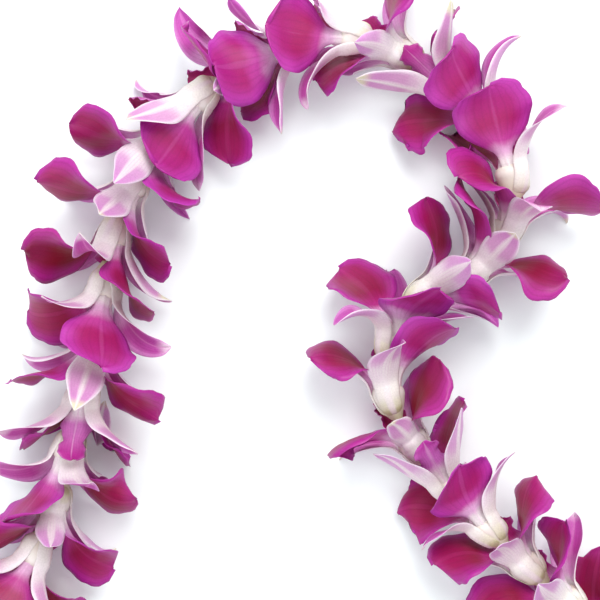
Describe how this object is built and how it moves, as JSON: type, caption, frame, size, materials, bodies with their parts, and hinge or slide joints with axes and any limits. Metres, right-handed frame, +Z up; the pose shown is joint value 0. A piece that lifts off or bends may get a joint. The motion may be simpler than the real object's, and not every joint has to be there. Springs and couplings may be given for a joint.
{
  "type": "fresh flower lei",
  "caption": "Closed garland of fresh dendrobium orchids threaded face to back on a knotted cotton thread, laid flat in a loose loop; worn round the neck or laid on a table.",
  "frame": {"origin": "middle of the lei's outline, on the surface that it lies on", "axes": "+Z up from that surface, +Y along the lei's long way, from the plain bend of the loop to its arch"},
  "size_m": [0.3308, 0.4075, 0.0547],
  "materials": {
    "orchid": "fresh petals: magenta with pale lilac edges and backs, white towards the ivory throat, softly satin",
    "thread": "twisted cotton, off-white, matt"
  },
  "bodies": {
    "root": {"orchid_01": "orchid", "orchid_02": "orchid", "orchid_03": "orchid", "orchid_04": "orchid", "orchid_05": "orchid", "orchid_06": "orchid", "orchid_07": "orchid", "orchid_08": "orchid", "orchid_09": "orchid", "orchid_10": "orchid", "orchid_11": "orchid", "orchid_12": "orchid", "orchid_13": "orchid", "orchid_14": "orchid", "orchid_15": "orchid", "orchid_16": "orchid", "orchid_17": "orchid", "orchid_18": "orchid", "orchid_19": "orchid", "orchid_20": "orchid", "orchid_21": "orchid", "orchid_22": "orchid", "orchid_23": "orchid", "orchid_24": "orchid", "orchid_25": "orchid", "orchid_26": "orchid", "orchid_27": "orchid", "orchid_28": "orchid", "orchid_29": "orchid", "orchid_30": "orchid", "orchid_31": "orchid", "orchid_32": "orchid", "orchid_33": "orchid", "orchid_34": "orchid", "orchid_35": "orchid", "orchid_36": "orchid", "orchid_37": "orchid", "orchid_38": "orchid", "orchid_39": "orchid", "orchid_40": "orchid", "orchid_41": "orchid", "orchid_42": "orchid", "orchid_43": "orchid", "orchid_44": "orchid", "orchid_45": "orchid", "orchid_46": "orchid", "thread": "thread"}
  },
  "joints": []
}
